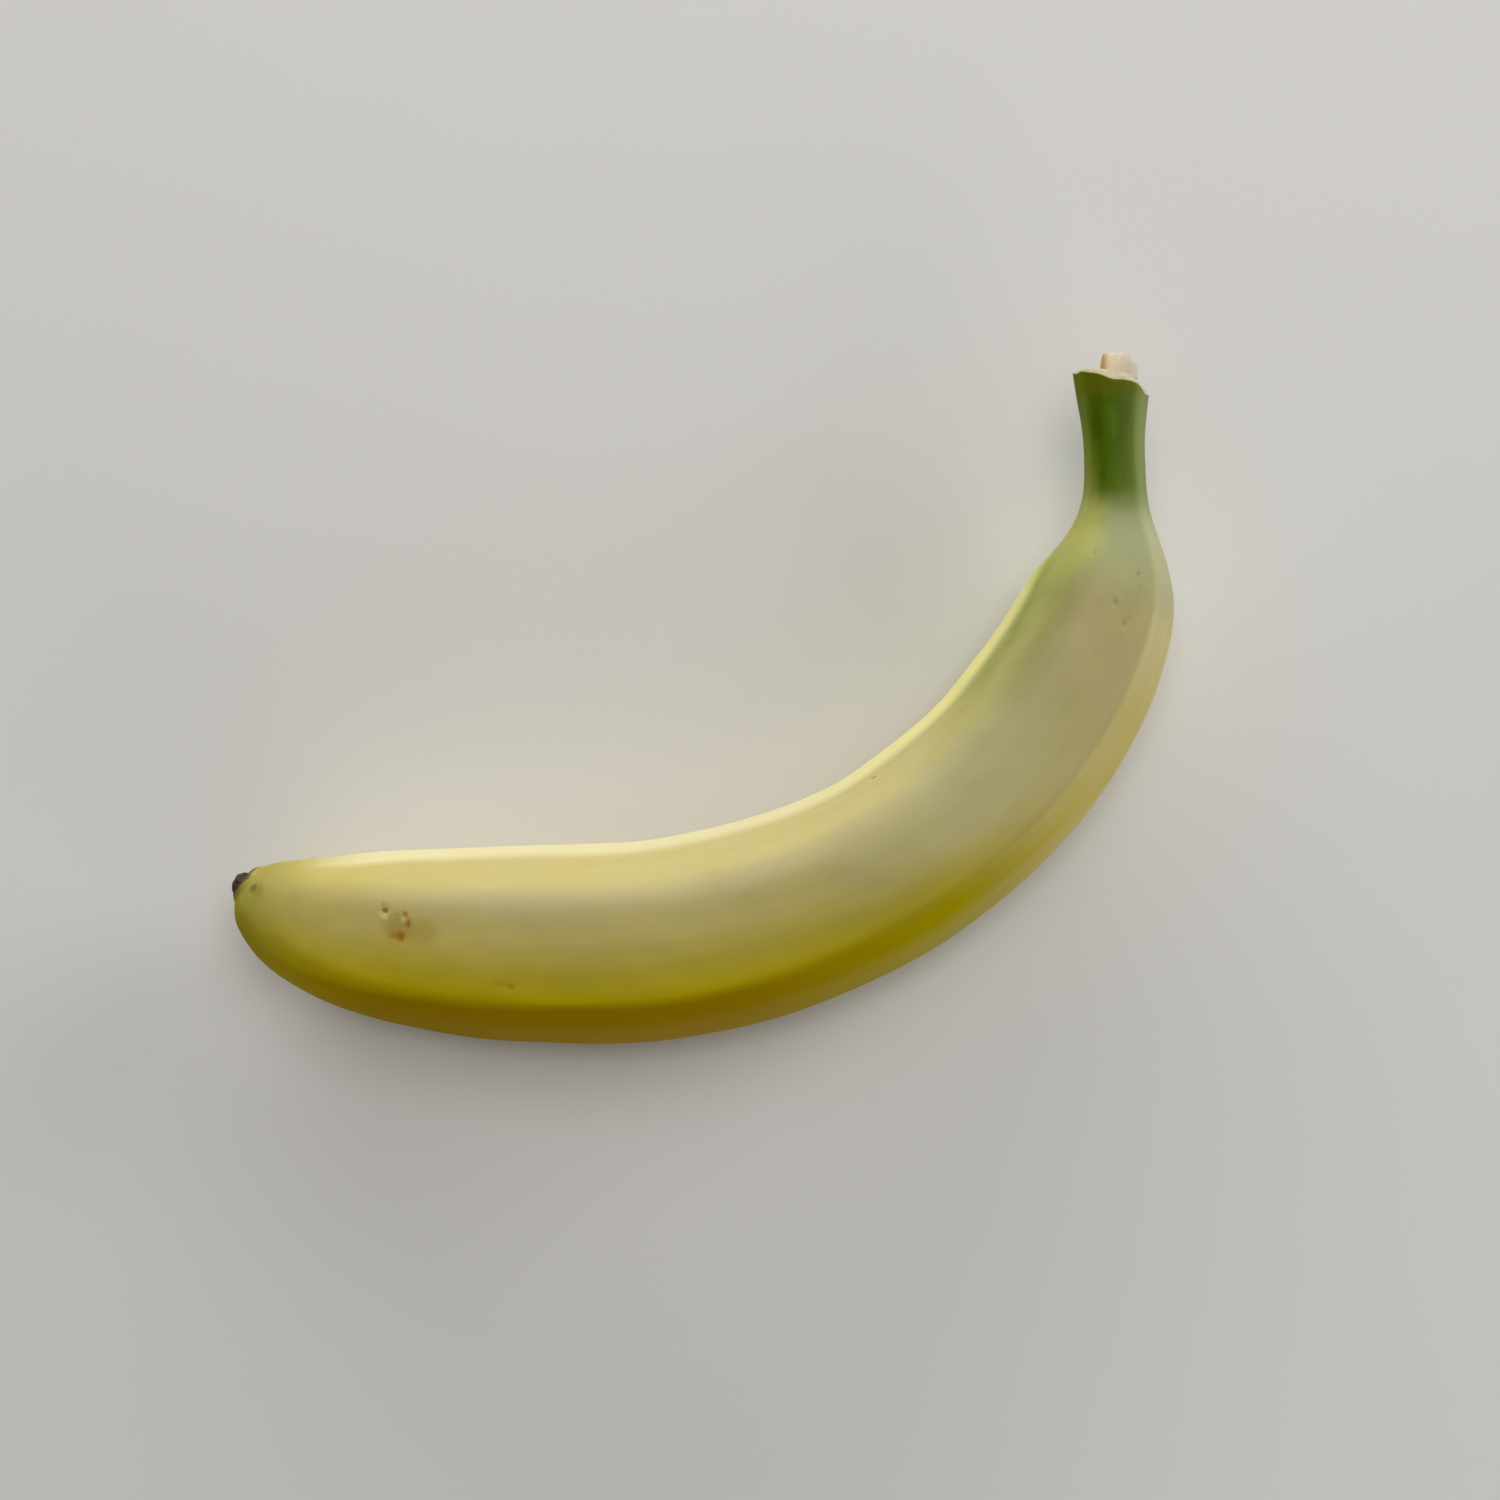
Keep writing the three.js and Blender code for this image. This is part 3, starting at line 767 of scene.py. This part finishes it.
principled.inputs["Roughness"].default_value = 0.85
stump.data.materials.append(pith_finish)
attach(stump, "root")

# ---- Dried style -------------------------------------------------------------------------------
# What is left of the flower at the blossom end: a small, dark, shrivelled knob on the scar.

STYLE_REACH = 2.35
STYLE_HEIGHT = 2.8
STYLE_SHIFT = 0.4
STYLE_SUNK = 0.1
STYLE_SIDES = 72
STYLE_RINGS = 40
scar_middle = skin_rings[0].mean(0) + to_frame
tip_way, tip_out = direction(0, 180), direction(0, -90)
turn, along = np.meshgrid(np.arange(STYLE_SIDES) * 2 * np.pi / STYLE_SIDES,
                          np.linspace(0.985, 0, STYLE_RINGS))
# Its radius falls as the root of 1 - along^3.2, so that the knob is blunt, with lengthwise wrinkles.
style_share = np.sqrt(np.maximum(0, 1 - along ** 3.2)) * (1 - 0.12 * along)
wrinkle = 1 + 0.07 * np.sin(7 * turn + 3 * along) + 0.05 * np.sin(12 * turn + 1) + 0.03 * np.sin(19 * turn)
style_out = STYLE_REACH * style_share * wrinkle * np.cos(turn)
style_up = STYLE_REACH * style_share * wrinkle * np.sin(turn)
style_rise = STYLE_HEIGHT * along + 0.16 * waves(np.stack([style_out, style_up, along], -1), 1.6, 21)
style_rings = (scar_middle + (style_out + STYLE_SHIFT)[..., None] * tip_out
               + style_up[..., None] * crown_up + (style_rise - STYLE_SUNK)[..., None] * tip_way)
style = closed_mesh("dried_style", style_rings,
                    straight=np.stack([style_rise, style_out, style_up], -1) * MM)


def colour(hexadecimal):
    """Linear colour with full alpha from an sRGB hex string."""
    parts = np.array([int(hexadecimal[i:i + 2], 16) for i in (1, 3, 5)]) / 255
    linear = np.where(parts <= 0.04045, parts / 12.92, ((parts + 0.055) / 1.055) ** 2.4)
    return (*linear, 1)


SHRIVELLED = colour("#2c2015")
DRY_BROWN = colour("#57422a")
style_finish = bpy.data.materials.new("dried_flower")
style_finish.use_nodes = True
tree = style_finish.node_tree
principled = tree.nodes["Principled BSDF"]
place = attribute(tree, "straight", "Vector")
style_colour = mixed(tree, blotch(tree, place, (700, 1200, 1200), 0.35, 0.7), SHRIVELLED, DRY_BROWN)
tree.links.new(style_colour, principled.inputs["Base Color"])
bump = add(tree, "ShaderNodeBump", {"Strength": 0.7, "Distance": 0.0002,
                                    "Height": blotch(tree, place, (900, 2500, 2500), 0.25, 0.75)})
tree.links.new(bump.outputs[0], principled.inputs["Normal"])
principled.inputs["Roughness"].default_value = 0.8
style.data.materials.append(style_finish)
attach(style, "root")

# ---- Table, light and camera -------------------------------------------------------------------
# A plain pale table top, a large soft light low on the hollow side of the curve, weaker ones over the
# fruit and beyond its stalk, and a long lens that looks straight down.

TABLE_SIDE = 4.0
TABLE_GREY = colour("#efece6")
TABLE_WHITE = colour("#f2f0ec")
table_mesh = bpy.data.meshes.new("table")
half = TABLE_SIDE / 2
table_mesh.from_pydata([(-half, -half, 0), (half, -half, 0), (half, half, 0), (-half, half, 0)], [],
                       [(0, 1, 2, 3)])
table = bpy.data.objects.new("table", table_mesh)
bpy.context.scene.collection.objects.link(table)
table_finish = bpy.data.materials.new("matt_table")
table_finish.use_nodes = True
tree = table_finish.node_tree
principled = tree.nodes["Principled BSDF"]
place = add(tree, "ShaderNodeTexCoord").outputs["Object"]
table_colour = mixed(tree, blotch(tree, place, (3, 3, 3), 0.2, 0.8), TABLE_GREY, TABLE_WHITE)
tree.links.new(table_colour, principled.inputs["Base Color"])
principled.inputs["Roughness"].default_value = 0.75
table.data.materials.append(table_finish)

VIEW_TURN = 30.577  # degrees that the view is turned from the fruit's own frame
VIEW_CENTRE = Vector((0.00093, 0.00941, 0.017))
VIEW_WIDTH = 0.2687  # width of the view at the fruit's middle height
LENS = 85.0
camera = bpy.data.objects.new("camera", bpy.data.cameras.new("camera"))
camera.data.lens = LENS
camera.data.clip_start = 0.01
distance = VIEW_WIDTH * LENS / camera.data.sensor_width
camera.location = VIEW_CENTRE + Vector((0, 0, distance))
camera.rotation_euler = (0, 0, -np.radians(VIEW_TURN))
bpy.context.scene.collection.objects.link(camera)
bpy.context.scene.camera = camera
view_right = Vector((np.cos(np.radians(VIEW_TURN)), -np.sin(np.radians(VIEW_TURN)), 0))
view_up = Vector((np.sin(np.radians(VIEW_TURN)), np.cos(np.radians(VIEW_TURN)), 0))


def soft_light(name, right, up, height, size, watts):
    """An area light, (wide, high), at a place given in the view's own directions, aimed at the fruit."""
    lamp = bpy.data.lights.new(name, "AREA")
    lamp.shape = "RECTANGLE"
    lamp.size, lamp.size_y = size
    lamp.energy = watts
    stand = bpy.data.objects.new(name, lamp)
    stand.location = view_right * right + view_up * up + Vector((0, 0, height))
    stand.rotation_euler = (-stand.location).to_track_quat("-Z", "Y").to_euler()
    bpy.context.scene.collection.objects.link(stand)


soft_light("hollow_side", right=-0.1, up=1.12, height=0.22, size=(1.1, 0.34), watts=8.0)
soft_light("stalk_side", right=1.6, up=0.83, height=0.56, size=(1.25, 0.7), watts=12.5)
soft_light("overhead", right=0.1, up=0.45, height=1.3, size=(0.9, 0.9), watts=6.0)
soft_light("tip_side", right=-1.1, up=0.3, height=0.22, size=(0.6, 0.34), watts=2.0)
soft_light("front_side", right=0.75, up=-0.85, height=0.3, size=(0.9, 0.5), watts=3.0)

world = bpy.data.worlds.new("room")
world.use_nodes = True
world.node_tree.nodes["Background"].inputs["Color"].default_value = (1, 1, 1, 1)
world.node_tree.nodes["Background"].inputs["Strength"].default_value = 0.1
bpy.context.scene.world = world
bpy.context.scene.view_settings.view_transform = "Standard"
